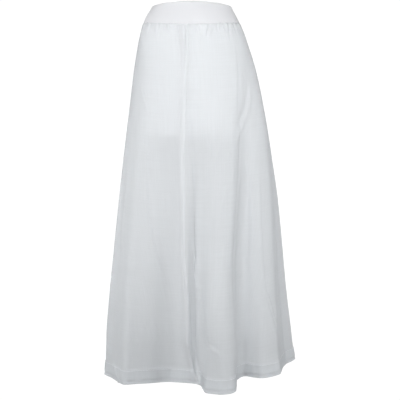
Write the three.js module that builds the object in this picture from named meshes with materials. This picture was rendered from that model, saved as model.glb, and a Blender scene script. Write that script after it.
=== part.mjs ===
// A long skirt of sheer white cotton voile, filled out as if worn, with nobody in it.
// Millimetres, +Z up. The front faces -Y and the wearer's left side is +X.
// The origin is the middle of the waistband's upper edge, where the wearer's waist holds the skirt up.
//
// A shaped waistband carries a gathered, flared outer skirt of three panels and a short plain lining of
// three panels. A concealed zip closes the centre back. The outer skirt is a loft through vertical
// generator lines: each starts at an angle round the hips and ends at its own point of the hem, so that
// ridges and valleys fan out downwards as they do in hanging cloth.

import * as THREE from 'three';

// ---- Driving dimensions ----------------------------------------------------------------------------

const skirtLength = 1016; // waistband's upper edge to hem, straight down
const hemDepth = 38; // turned-up hem of the outer skirt
const liningLength = 352; // waistband's upper edge to the lining's hem
const bandDrop = { middle: 55, side: 45 }; // the waistband's lower edge, below the waist
const bandRise = 7; // its upper edge rises this far above the waist at the centre front

const seamGap = 0.3; // between pieces that are sewn together
const layerGap = 0.4; // between layers that lie on each other
const outerCloth = 1.2; // voile with its nap and slack, as a wall
const liningCloth = 1.0;
const bandCloth = outerCloth + layerGap + liningCloth; // two layers and interfacing, over both skirts
const hemCloth = 1.0;

// Plain sections of the filled-out form, from the waist down. Half-widths and depths from the axis.
const formSections = [
  { z: 0, right: 109, left: 108, front: 84, back: 88 },
  { z: -35, right: 129, left: 127, front: 97, back: 101 },
  { z: -62, right: 138, left: 138, front: 104, back: 109 },
  { z: -90, right: 146, left: 150, front: 109, back: 115 },
  { z: -145, right: 156, left: 169, front: 115, back: 125 },
  { z: -200, right: 164, left: 184, front: 119, back: 132 },
  { z: -340, right: 182, left: 216, front: 131, back: 148 },
  { z: -535, right: 205, left: 245, front: 148, back: 170 },
  { z: -820, right: 233, left: 274, front: 168, back: 198 },
  { z: -skirtLength, right: 246, left: 300, front: 180, back: 214 },
];

// The lining is cut straight: from this depth down it falls as a plain tube.
const liningTube = { right: 131, left: 141, front: 115, back: 126 };
const tubeStarts = 190;

// Generator lines of the outer skirt, once round from the centre back past the wearer's right side (-X)
// to the front, the left side (+X) and back. hip is the angle from the front, in degrees. hem is [x, y].
// shin is [x, y] a hand's breadth above the hem, given where a line isn't straight.
const hipZ = -200;
const shinZ = -900;
const fall = { start: 110, free: 330 }; // the cloth leaves the form between these depths below the waist
const generators = [
  { hip: -180, hem: [0, 222] }, // centre back seam
  { hip: -170, hem: [-36, 240] },
  { hip: -160, hem: [-78, 228] },
  { hip: -150, hem: [-112, 192] }, // back valley
  { hip: -140, hem: [-150, 206] },
  { hip: -129, hem: [-192, 186] }, // back right ridge
  { hip: -118, hem: [-212, 128] }, // valley
  { hip: -107, hem: [-238, 76] }, // ridge behind the right side
  { hip: -98, hem: [-238, 30] },
  { hip: -90, hem: [-235, -20] }, // right side seam
  { hip: -80, hem: [-244, -71] }, // right side ridge
  { hip: -70, hem: [-222, -102] }, // valley
  { hip: -60, hem: [-205, -132] },
  { hip: -50, hem: [-182, -167] }, // corner of the flat front fall
  { hip: -40, hem: [-148, -162] },
  { hip: -31, hem: [-110, -156] },
  { hip: -22, hem: [-68, -145] },
  { hip: -14, hem: [-34, -150] },
  { hip: -7, shin: [-8, -170], hem: [10, -162] }, // long ridge, beside the big flute
  { hip: -1.5, shin: [8, -150], hem: [19, -172] }, // narrow valley
  { hip: 4, shin: [24, -172], hem: [26, -205] },
  { hip: 10, shin: [40, -206], hem: [34, -236] }, // the big flute's near shoulder
  { hip: 16, hem: [52, -245] },
  { hip: 22, hem: [80, -252] }, // the big flute's crest
  { hip: 28, hem: [103, -245] },
  { hip: 33, hem: [119, -226] },
  { hip: 38, hem: [125, -180] }, // its steep wall
  { hip: 43, hem: [129, -125] }, // deep valley
  { hip: 49, hem: [147, -93] },
  { hip: 56, hem: [172, -103] },
  { hip: 63, hem: [193, -107] }, // left front ridge
  { hip: 70, hem: [215, -98] },
  { hip: 76, hem: [235, -82] },
  { hip: 81, hem: [248, -60] },
  { hip: 86, hem: [259, -10] }, // valley
  { hip: 90, hem: [272, 26] }, // left side seam
  { hip: 97, hem: [292, 56] },
  { hip: 103, hem: [302, 80] }, // left side ridge
  { hip: 111, hem: [284, 114] },
  { hip: 119, hem: [244, 138] }, // valley
  { hip: 128, hem: [210, 188] }, // back left ridge
  { hip: 138, hem: [166, 212] },
  { hip: 149, hem: [120, 198] }, // back valley
  { hip: 159, hem: [82, 224] },
  { hip: 170, hem: [38, 242] },
];
const centreBack = 0;
const rightSide = generators.findIndex((g) => g.hip === -90);
const leftSide = generators.findIndex((g) => g.hip === 90);

// Gathers under the waistband: puffs between small tucks, where the panels are eased into the seam.
const gatherAngles = [-166, -150, -134, -118, -103, -88, -72, -57, -47, -34, -20, -10,
  25, 36, 50, 63, 77, 92, 107, 122, 138, 152, 166];
const gather = { height: 2.4, halfWidth: 4.5, fullAt: -70, goneAt: -175 }; // half-width in degrees

const zip = {
  top: -4, bottom: -200, // ends of its tapes
  tapeWidth: 11, tapeThickness: 0.8,
  chainTop: -24, chainWidth: 4.4, chainThickness: 1.6,
  sliderZ: -11, // where the slider's neck passes between the two edges
  slitHalfWidth: 1.1, slitEnd: -26, // the edges part this far at the slider, and meet below it
};

// How far apart, in each surface's own measure, two places are taken to find its direction.
const step = { skirt: 0.02, fitted: 0.5, zip: 0.2 };

// ---- Shared helpers ---------------------------------------------------------------------------------

const radians = THREE.MathUtils.degToRad;
const share = (value, from, to) => THREE.MathUtils.clamp((value - from) / (to - from), 0, 1);

// Smooth value of one column of formSections at a height: a cubic through the four nearest sections.
function formSize(column, z) {
  const last = formSections.length - 1;
  let i = 0;
  while (i < last - 1 && z < formSections[i + 1].z) i += 1;
  const slope = (k) => {
    const a = formSections[Math.max(k - 1, 0)];
    const b = formSections[Math.min(k + 1, last)];
    return (b[column] - a[column]) / (b.z - a.z);
  };
  const [p, q] = [formSections[i], formSections[i + 1]];
  const span = q.z - p.z;
  const t = (z - p.z) / span;
  return p[column] * (2 * t ** 3 - 3 * t ** 2 + 1) + slope(i) * span * (t ** 3 - 2 * t ** 2 + t)
    + q[column] * (3 * t ** 2 - 2 * t ** 3) + slope(i + 1) * span * (t ** 3 - t ** 2);
}

// A point of the plain form, at an angle in degrees from the front.
function formPoint(angle, z) {
  const [s, c] = [Math.sin(radians(angle)), Math.cos(radians(angle))];
  const width = formSize(s < 0 ? 'right' : 'left', z);
  const depth = formSize(c > 0 ? 'front' : 'back', z);
  return new THREE.Vector3(width * s, -depth * c, z);
}

// The waistband's lower and upper edges.
function bandEdge(angle) {
  return -(bandDrop.side + (bandDrop.middle - bandDrop.side) * Math.cos(radians(angle)) ** 2);
}

function bandTop(angle) {
  return bandRise * Math.max(Math.cos(radians(angle)), 0) ** 2;
}

// The hip angle at a place along the generators, which may lie between two of them.
function hipAngle(u) {
  const n = generators.length;
  const i = Math.floor(u);
  const at = (k) => generators[((k % n) + n) % n].hip + 360 * Math.floor(k / n);
  return THREE.MathUtils.lerp(at(i), at(i + 1), u - i);
}

// Where one generator line is at a height.
function generatorPoint(g, z) {
  const plain = formPoint(g.hip, z);
  const blend = THREE.MathUtils.smoothstep(-z, fall.start, fall.free);
  if (blend === 0) return plain;
  const hip = formPoint(g.hip, hipZ);
  const hem = new THREE.Vector3(g.hem[0], g.hem[1], -skirtLength);
  const shinShare = share(shinZ, hipZ, -skirtLength);
  const shin = g.shin ? new THREE.Vector3(g.shin[0], g.shin[1], shinZ) : hip.clone().lerp(hem, shinShare);
  const down = (z - hipZ) / (-skirtLength - hipZ);
  const line = down < shinShare
    ? hip.clone().lerp(shin, down / shinShare)
    : shin.clone().lerp(hem, (down - shinShare) / (1 - shinShare));
  // The form bulges a little past the straight line from hip to hem, and every generator does with it.
  const side = plain.x < 0 ? 'right' : 'left';
  const straight = THREE.MathUtils.lerp(formSize(side, hipZ), formSize(side, -skirtLength), down);
  line.x *= formSize(side, z) / straight;
  return plain.lerp(line, blend);
}

const sectionCurves = new Map();
function sectionCurve(z) {
  if (!sectionCurves.has(z)) {
    const points = generators.map((g) => generatorPoint(g, z));
    sectionCurves.set(z, new THREE.CatmullRomCurve3(points, true, 'centripetal'));
  }
  return sectionCurves.get(z);
}

// ---- Surfaces: each gives the outer face of a layer at a place u round it and a height z -----------

// The outer skirt. u counts along the generators.
function skirtSurface(u, z) {
  const n = generators.length;
  const point = sectionCurve(z).getPoint((((u % n) + n) % n) / n);
  const fade = THREE.MathUtils.smoothstep(z, gather.goneAt, gather.fullAt);
  if (fade > 0) {
    const angle = hipAngle(u);
    const puff = gatherAngles.reduce((sum, at) => {
      const away = Math.abs(((angle - at + 540) % 360) - 180) / gather.halfWidth;
      return sum + Math.exp(-away * away);
    }, 0);
    const out = gather.height * fade * Math.min(puff, 1) / Math.hypot(point.x, point.y);
    point.x *= 1 + out;
    point.y *= 1 + out;
  }
  return point;
}

// The waistband. u is the angle from the front, in degrees.
const bandSurface = (angle, z) => formPoint(angle, z);

// One column of the lining's size: it leaves the form below the waistband and becomes the plain tube.
function liningSize(column, z) {
  const underSkirt = formSize(column, z) - outerCloth - layerGap;
  const straight = Math.min(liningTube[column], underSkirt);
  const leaving = THREE.MathUtils.smoothstep(-z, bandDrop.middle, tubeStarts);
  return THREE.MathUtils.lerp(underSkirt, straight, leaving);
}

// The lining. u is the angle from the front, in degrees.
function liningSurface(angle, z) {
  const [s, c] = [Math.sin(radians(angle)), Math.cos(radians(angle))];
  const width = liningSize(s < 0 ? 'right' : 'left', z);
  const depth = liningSize(c > 0 ? 'front' : 'back', z);
  return new THREE.Vector3(width * s, -depth * c, z);
}

// The inside of the waistband and the lining at the centre back, which the zip lies on. u is the
// distance from the seam towards the wearer's right, in millimetres.
function zipBed(u, z) {
  const reach = Math.asin(u / liningSize(u > 0 ? 'right' : 'left', z));
  const depth = liningSize('back', z) - liningCloth - layerGap;
  return new THREE.Vector3(-u, depth * Math.cos(reach), z);
}

// The level direction that points out of a surface. Walls grow along it, so that every row of a wall
// keeps its own height and the seams above and below it stay open by the same gap.
function outward(surface, u, z, apart) {
  const along = surface(u + apart, z).sub(surface(u - apart, z));
  return new THREE.Vector3(along.y, -along.x, 0).normalize();
}

// A surface moved inwards by a distance.
function inset(surface, distance, apart) {
  return (u, z) => surface(u, z).addScaledVector(outward(surface, u, z, apart), -distance);
}

// ---- Cloth walls ------------------------------------------------------------------------------------

// A closed wall of cloth under a surface. columns are places round it and rows(u) are heights from the
// top down. Its two side edges are drawn back by edgeGap(z), which leaves the seam open between pieces.
function clothWall({ surface, columns, rows, thickness, apart, edgeGap = () => seamGap / 2 }) {
  const rowCount = rows(columns[0]).length;
  const last = columns.length - 1;
  const outside = [];
  const inside = [];
  columns.forEach((u, i) => {
    rows(u).forEach((z) => {
      const point = surface(u, z);
      if (i === 0 || i === last) {
        const along = surface(u + apart, z).sub(surface(u - apart, z)).normalize();
        point.addScaledVector(along, (i === 0 ? 1 : -1) * edgeGap(z, u));
      }
      outside.push(point);
      inside.push(point.clone().addScaledVector(outward(surface, u, z, apart), -thickness));
    });
  });
  const vertices = [...outside, ...inside];
  const back = outside.length;
  const at = (i, j) => i * rowCount + j;
  const faces = [];
  const quad = (a, b, c, d) => faces.push(a, b, c, b, d, c);
  for (let i = 0; i < last; i += 1) {
    for (let j = 0; j < rowCount - 1; j += 1) {
      quad(at(i, j), at(i, j + 1), at(i + 1, j), at(i + 1, j + 1));
      quad(back + at(i, j), back + at(i + 1, j), back + at(i, j + 1), back + at(i + 1, j + 1));
    }
    const low = rowCount - 1;
    quad(at(i, 0), at(i + 1, 0), back + at(i, 0), back + at(i + 1, 0));
    quad(at(i, low), back + at(i, low), at(i + 1, low), back + at(i + 1, low));
  }
  for (let j = 0; j < rowCount - 1; j += 1) {
    quad(at(0, j), back + at(0, j), at(0, j + 1), back + at(0, j + 1));
    quad(at(last, j), at(last, j + 1), back + at(last, j), back + at(last, j + 1));
  }
  const geometry = new THREE.BufferGeometry();
  geometry.setAttribute('position', new THREE.Float32BufferAttribute(vertices.flatMap((v) => [...v]), 3));
  geometry.setIndex(faces);
  geometry.computeVertexNormals();
  return geometry;
}

const evenly = (from, to, count) =>
  Array.from({ length: count + 1 }, (_, i) => from + (to - from) * i / count);

// ---- Materials --------------------------------------------------------------------------------------

const matte = (color, roughness) => new THREE.MeshStandardMaterial({ color, roughness, metalness: 0 });
const voile = matte(0xe9ecee, 0.85);
const bandVoile = matte(0xeff1f3, 0.82);
const batiste = matte(0xf5f6f7, 0.9);
const tapeCloth = matte(0xf2f3f3, 0.8);
const nylon = matte(0xf4f4f2, 0.45);
const enamel = matte(0xf6f6f4, 0.3);

const skirt = new THREE.Group();
function add(name, geometry, material, parent = skirt) {
  const mesh = new THREE.Mesh(geometry, material);
  mesh.name = name;
  parent.add(mesh);
  return mesh;
}

// ---- Outer skirt and its turned-up hem --------------------------------------------------------------

const hemTop = hemDepth - skirtLength;
const skirtRows = [-75, -105, -145, -200, -270, -370, -500, -660, -820, -920, hemTop, -skirtLength];
const skirtPanels = {
  back_right: [centreBack, rightSide],
  front: [rightSide, leftSide],
  back_left: [leftSide, generators.length],
};
for (const [name, [from, to]] of Object.entries(skirtPanels)) {
  const columns = evenly(from, to, 2 * (to - from));
  add(`skirt_${name}`, clothWall({
    surface: skirtSurface,
    columns,
    rows: (u) => [bandEdge(hipAngle(u)) - seamGap, ...skirtRows],
    thickness: outerCloth,
    apart: step.skirt,
  }), voile);
  add(`hem_${name}`, clothWall({
    surface: inset(skirtSurface, outerCloth + layerGap, step.skirt),
    columns,
    rows: () => [hemTop, -skirtLength],
    thickness: hemCloth,
    apart: step.skirt,
  }), voile);
}

// ---- Waistband and lining ---------------------------------------------------------------------------

const bandRows = [-7, -16, -26, -38];
const liningRows = [-75, -105, -145, zip.bottom, -270, -liningLength];

// The edges of the centre back part at the slider, and close again below it.
function slit(z) {
  return seamGap / 2 + zip.slitHalfWidth * THREE.MathUtils.smoothstep(z, zip.slitEnd, zip.sliderZ - 4);
}
const slitAtCentreBack = (z, u) => (Math.abs(u) === 180 ? slit(z) : seamGap / 2);

const fittedPanels = {
  back_right: evenly(-180, -90, 15),
  front: evenly(-90, 90, 30),
  back_left: evenly(90, 180, 15),
};
for (const [name, columns] of Object.entries(fittedPanels)) {
  add(`waistband_${name}`, clothWall({
    surface: bandSurface,
    columns,
    rows: (angle) => [bandTop(angle), ...bandRows, bandEdge(angle)],
    thickness: bandCloth,
    apart: step.fitted,
    edgeGap: slitAtCentreBack,
  }), bandVoile);
  add(`lining_${name}`, clothWall({
    surface: liningSurface,
    columns,
    rows: (angle) => [bandEdge(angle) - seamGap, ...liningRows],
    thickness: liningCloth,
    apart: step.fitted,
  }), batiste);
}

// ---- Concealed zip at the centre back ---------------------------------------------------------------

const zipRows = [zip.top, ...bandRows, -bandDrop.middle, ...liningRows.filter((z) => z >= zip.bottom)];
const tapes = { right: evenly(0, zip.tapeWidth, 2), left: evenly(-zip.tapeWidth, 0, 2) };
for (const [name, columns] of Object.entries(tapes)) {
  add(`zip_tape_${name}`, clothWall({
    surface: zipBed,
    columns,
    rows: () => zipRows,
    thickness: zip.tapeThickness,
    apart: step.zip,
    edgeGap: (z, u) => (u === 0 ? slit(z) : 0),
  }), tapeCloth);
}
add('zip_chain', clothWall({
  surface: inset(zipBed, zip.tapeThickness + seamGap, step.zip),
  columns: evenly(-zip.chainWidth / 2, zip.chainWidth / 2, 2),
  rows: () => zipRows.filter((z) => z <= zip.chainTop),
  thickness: zip.chainThickness,
  apart: step.zip,
  edgeGap: () => 0,
}), nylon);

// The slider's frame stands on the waistband's outer face: y points out of it and z up along it.
const sliderFrame = new THREE.Group();
sliderFrame.position.set(0, formSize('back', zip.sliderZ), zip.sliderZ);
const bandSlope = (formSize('back', zip.sliderZ + 2) - formSize('back', zip.sliderZ - 2)) / 4;
sliderFrame.rotation.x = -Math.atan(bandSlope);
skirt.add(sliderFrame);

// A plate with its outline in y and z, lying across x.
function plateAcross(outline, width, hole) {
  const shape = new THREE.Shape(outline.map(([y, z]) => new THREE.Vector2(y, z)));
  if (hole) shape.holes.push(hole);
  const plate = new THREE.ExtrudeGeometry(shape, { depth: width, bevelEnabled: false, curveSegments: 8 });
  plate.translate(0, 0, -width / 2);
  return plate.applyMatrix4(new THREE.Matrix4().makeBasis(
    new THREE.Vector3(0, 1, 0), new THREE.Vector3(0, 0, 1), new THREE.Vector3(1, 0, 0)));
}

// The slider's body runs behind the tapes. Its neck comes out between the two edges of the waistband
// and ends in an arch, and the pull hangs in the arch's eye.
const slider = { width: 8.4, height: 11, depth: 3, clearance: 1 };
const arch = {
  width: 1.8, neck: 3.2, foot: 0.4, rise: 0.9, halfHeight: 3.9, bend: 2.2, reach: 4.3, nose: 1, round: 0.4,
};
const eye = { out: 1.9, halfDepth: 1.0, halfHeight: 1.25 };
const behindTapes = -(bandCloth + layerGap + zip.tapeThickness + seamGap) / Math.cos(sliderFrame.rotation.x);
const sliderFace = behindTapes - slider.clearance;
const body = new THREE.BoxGeometry(slider.width, slider.depth, slider.height);
body.translate(0, sliderFace - slider.depth / 2, 0);
add('zip_slider', body, enamel, sliderFrame);

// The lower half of the arch's outline, from the slider outwards. The upper half mirrors it.
const archHalf = [
  [sliderFace + seamGap, arch.neck],
  [arch.foot, arch.neck],
  [arch.rise, arch.halfHeight],
  [arch.bend, arch.halfHeight],
  [arch.reach - arch.round, arch.bend],
  [arch.reach, arch.nose],
];
const archOutline = [
  ...archHalf.map(([y, z]) => [y, -z]),
  ...archHalf.toReversed(),
];
const eyeHole = new THREE.Path([[-1, -1], [-1, 1], [1, 1], [1, -1]].map(([y, z]) => (
  new THREE.Vector2(eye.out + y * eye.halfDepth, z * eye.halfHeight))));
add('zip_bridge', plateAcross(archOutline, arch.width, eyeHole), enamel, sliderFrame);

// The pull is a drop-shaped tab. Its top bar passes through the arch's eye and is the hinge.
const pull = { length: 21, halfWidth: 3.6, shoulder: 2.7, thickness: 1.0, bar: 0.6, slot: 1.3, slotEnd: 4.9,
  neckEnd: 4.2 };
const drop = new THREE.Shape();
drop.moveTo(-pull.shoulder, pull.bar);
drop.lineTo(-pull.shoulder, -pull.neckEnd);
drop.quadraticCurveTo(-pull.halfWidth, -pull.length * 0.5, -pull.halfWidth, -pull.length + pull.halfWidth);
drop.absarc(0, -pull.length + pull.halfWidth, pull.halfWidth, Math.PI, 2 * Math.PI, false);
drop.quadraticCurveTo(pull.halfWidth, -pull.length * 0.5, pull.shoulder, -pull.neckEnd);
drop.lineTo(pull.shoulder, pull.bar);
drop.holes.push(new THREE.Path([[-1, -pull.bar], [1, -pull.bar], [1, -pull.slotEnd], [-1, -pull.slotEnd]]
  .map(([x, z]) => new THREE.Vector2(x * pull.slot, z))));
const tab = new THREE.ExtrudeGeometry(drop, { depth: pull.thickness, bevelEnabled: false, curveSegments: 6 });
tab.translate(0, 0, -pull.thickness / 2);
tab.rotateX(Math.PI / 2);
tab.translate(0, eye.out, 0);
add('zip_pull', tab, enamel, sliderFrame);

export default skirt;
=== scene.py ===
"""A long skirt of sheer white cotton voile, filled out as if worn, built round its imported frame.

Lengths in the tables below are millimetres. The front faces -Y and the wearer's left side is +X.
The cloth is laid out on a grid: columns run round the skirt along its generator lines, rows run down.
"""

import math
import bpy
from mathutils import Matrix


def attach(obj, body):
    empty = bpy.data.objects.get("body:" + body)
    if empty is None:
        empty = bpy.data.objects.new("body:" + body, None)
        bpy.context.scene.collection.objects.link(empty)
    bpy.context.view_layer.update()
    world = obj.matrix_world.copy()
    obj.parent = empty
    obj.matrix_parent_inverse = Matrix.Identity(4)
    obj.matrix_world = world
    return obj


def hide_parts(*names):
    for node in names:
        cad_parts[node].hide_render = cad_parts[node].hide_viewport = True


bl_info = {
    "name": "Long sheer skirt",
    "version": (1, 0, 0),
    "blender": (4, 5, 0),
    "location": "3D View > Sidebar > Skirt",
    "description": "Makes a long skirt of sheer white voile, with its lining, waistband and zip",
    "category": "Add Mesh",
}

import bmesh
import bpy
import numpy as np
from mathutils import Vector

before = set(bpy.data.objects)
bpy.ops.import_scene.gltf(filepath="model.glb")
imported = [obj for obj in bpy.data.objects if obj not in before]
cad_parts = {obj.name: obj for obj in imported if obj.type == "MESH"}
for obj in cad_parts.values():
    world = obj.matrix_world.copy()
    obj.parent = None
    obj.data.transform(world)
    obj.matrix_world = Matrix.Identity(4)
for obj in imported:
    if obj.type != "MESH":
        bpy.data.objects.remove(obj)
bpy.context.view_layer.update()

MM = 0.001
BODY = "skirt"
PULL = "pull"

# ---- The cut: driving sizes in millimetres --------------------------------------------------------------

SKIRT_LENGTH = 1016.0  # waistband's upper edge to hem, straight down
HEM_DEPTH = 38.0
LINING_LENGTH = 352.0
LINING_HEM = 14.0
BAND_DROP_MIDDLE = 55.0  # the waistband's lower edge, below the waist
BAND_DROP_SIDE = 45.0
BAND_RISE = 7.0  # its upper edge above the waist at the centre front
WALL = 1.2  # the frame's outer cloth, whose outer face the voile follows
LINING_GAP = 0.4  # between that cloth and the lining
LINING_WALL = 1.0  # the frame's lining cloth
TUBE_START = 190.0  # how far down the lining has left the form and become a plain tube
EDGE_GAP = 0.15  # what each panel's upright edge is drawn in, so that neighbours don't touch

# Plain sections of the filled-out form: height, then half-widths right and left, depths front and back.
FORM = np.array([
    (0, 109, 108, 84, 88),
    (-35, 129, 127, 97, 101),
    (-62, 138, 138, 104, 109),
    (-90, 146, 150, 109, 115),
    (-145, 156, 169, 115, 125),
    (-200, 164, 184, 119, 132),
    (-340, 182, 216, 131, 148),
    (-535, 205, 245, 148, 170),
    (-820, 233, 274, 168, 198),
    (-SKIRT_LENGTH, 246, 300, 180, 214),
], float)
RIGHT, LEFT, FRONT, BACK = 1, 2, 3, 4
# half-widths and depths of the lining's plain tube
LINING_TUBE = {RIGHT: 131, LEFT: 141, FRONT: 115, BACK: 126}

# Generator lines: the angle round the hips, in degrees from the front, and the hem point x, y.
GENERATORS = np.array([
    (-180, 0, 222), (-170, -36, 240), (-160, -78, 228), (-150, -112, 192), (-140, -150, 206),
    (-129, -192, 186), (-118, -212, 128), (-107, -238, 76), (-98, -238, 30), (-90, -235, -20),
    (-80, -244, -71), (-70, -222, -102), (-60, -205, -132), (-50, -182, -167), (-40, -148, -162),
    (-31, -110, -156), (-22, -68, -145), (-14, -34, -150), (-7, 10, -162), (-1.5, 19, -172),
    (4, 26, -205), (10, 34, -236), (16, 52, -245), (22, 80, -252), (28, 103, -245), (33, 119, -226),
    (38, 125, -180), (43, 129, -125), (49, 147, -93), (56, 172, -103), (63, 193, -107), (70, 215, -98),
    (76, 235, -82), (81, 248, -60), (86, 259, -10), (90, 272, 26), (97, 292, 56), (103, 302, 80),
    (111, 284, 114), (119, 244, 138), (128, 210, 188), (138, 166, 212), (149, 120, 198), (159, 82, 224),
    (170, 38, 242),
], float)
HIPS = GENERATORS[:, 0]
RIGHT_SEAM = int(np.argmax(HIPS == -90))
LEFT_SEAM = int(np.argmax(HIPS == 90))
# Where a generator line isn't straight: its x, y a hand's breadth above the hem.
SHINS = {-7: (-8, -170), -1.5: (8, -150), 4: (24, -172), 10: (40, -206)}
HIP_Z = -200.0
SHIN_Z = -900.0
# between these depths the cloth leaves the form and takes up its generator lines
FLARE_START = 110.0
FLARE_FULL = 330.0

# Folds that lean sideways on their way down: angle and its reach, height and its reach, sideways shift.
SWAYS = [
    (36, 13, -700, 170, -11),
    (-4, 6, -560, 160, 4),
]

# Tucks under the waistband: angle at the seam, angle at the lower end, length, depth.
TUCKS = [
    (-172, -171, 46, 2.0), (-158, -160, 62, 2.4), (-143, -142, 40, 1.9), (-129, -130, 70, 2.2),
    (-115, -113, 38, 1.8), (-100, -101, 58, 2.2), (-86, -85, 44, 1.8), (-71, -69, 66, 2.2),
    (-56, -55, 36, 1.6), (-41, -37.5, 48, 2.3), (-27.5, -25, 30, 2.2), (-14.5, -13, 64, 1.9),
    (-5.9, -5.3, 150, 1.7), (8, 9, 34, 1.1), (20.2, 14, 44, 2.6), (31, 29, 26, 1.9), (40, 38, 54, 1.6),
    (47.7, 40, 60, 2.4), (58, 56, 40, 1.6), (70, 71, 52, 1.9), (84, 83, 64, 2.1), (99, 100, 42, 1.8),
    (113, 112, 60, 2.3), (128, 129, 46, 2.0), (144, 143, 66, 2.4), (160, 158, 42, 1.9), (172, 173, 54, 2.1),
]

# The long pressed fold down the front, as (angle, z) points.
PRESSED_FOLD = [(-5.6, -62), (-5.2, -150), (-6.3, -253), (-9.0, -400), (-9.0, -517), (-9.4, -652),
                (-7.0, -784), (-6.0, -866), (-6.1, -920), (-7.0, -974), (-4.2, -1016)]

# The swelling down the big flute's face: its height and half-widths, and its line as (angle, z) points.
FLUTE_SWELL = (16.0, 36, 30)
FLUTE_LINE = [(19, -600), (20, -780), (22, -1010)]

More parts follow.
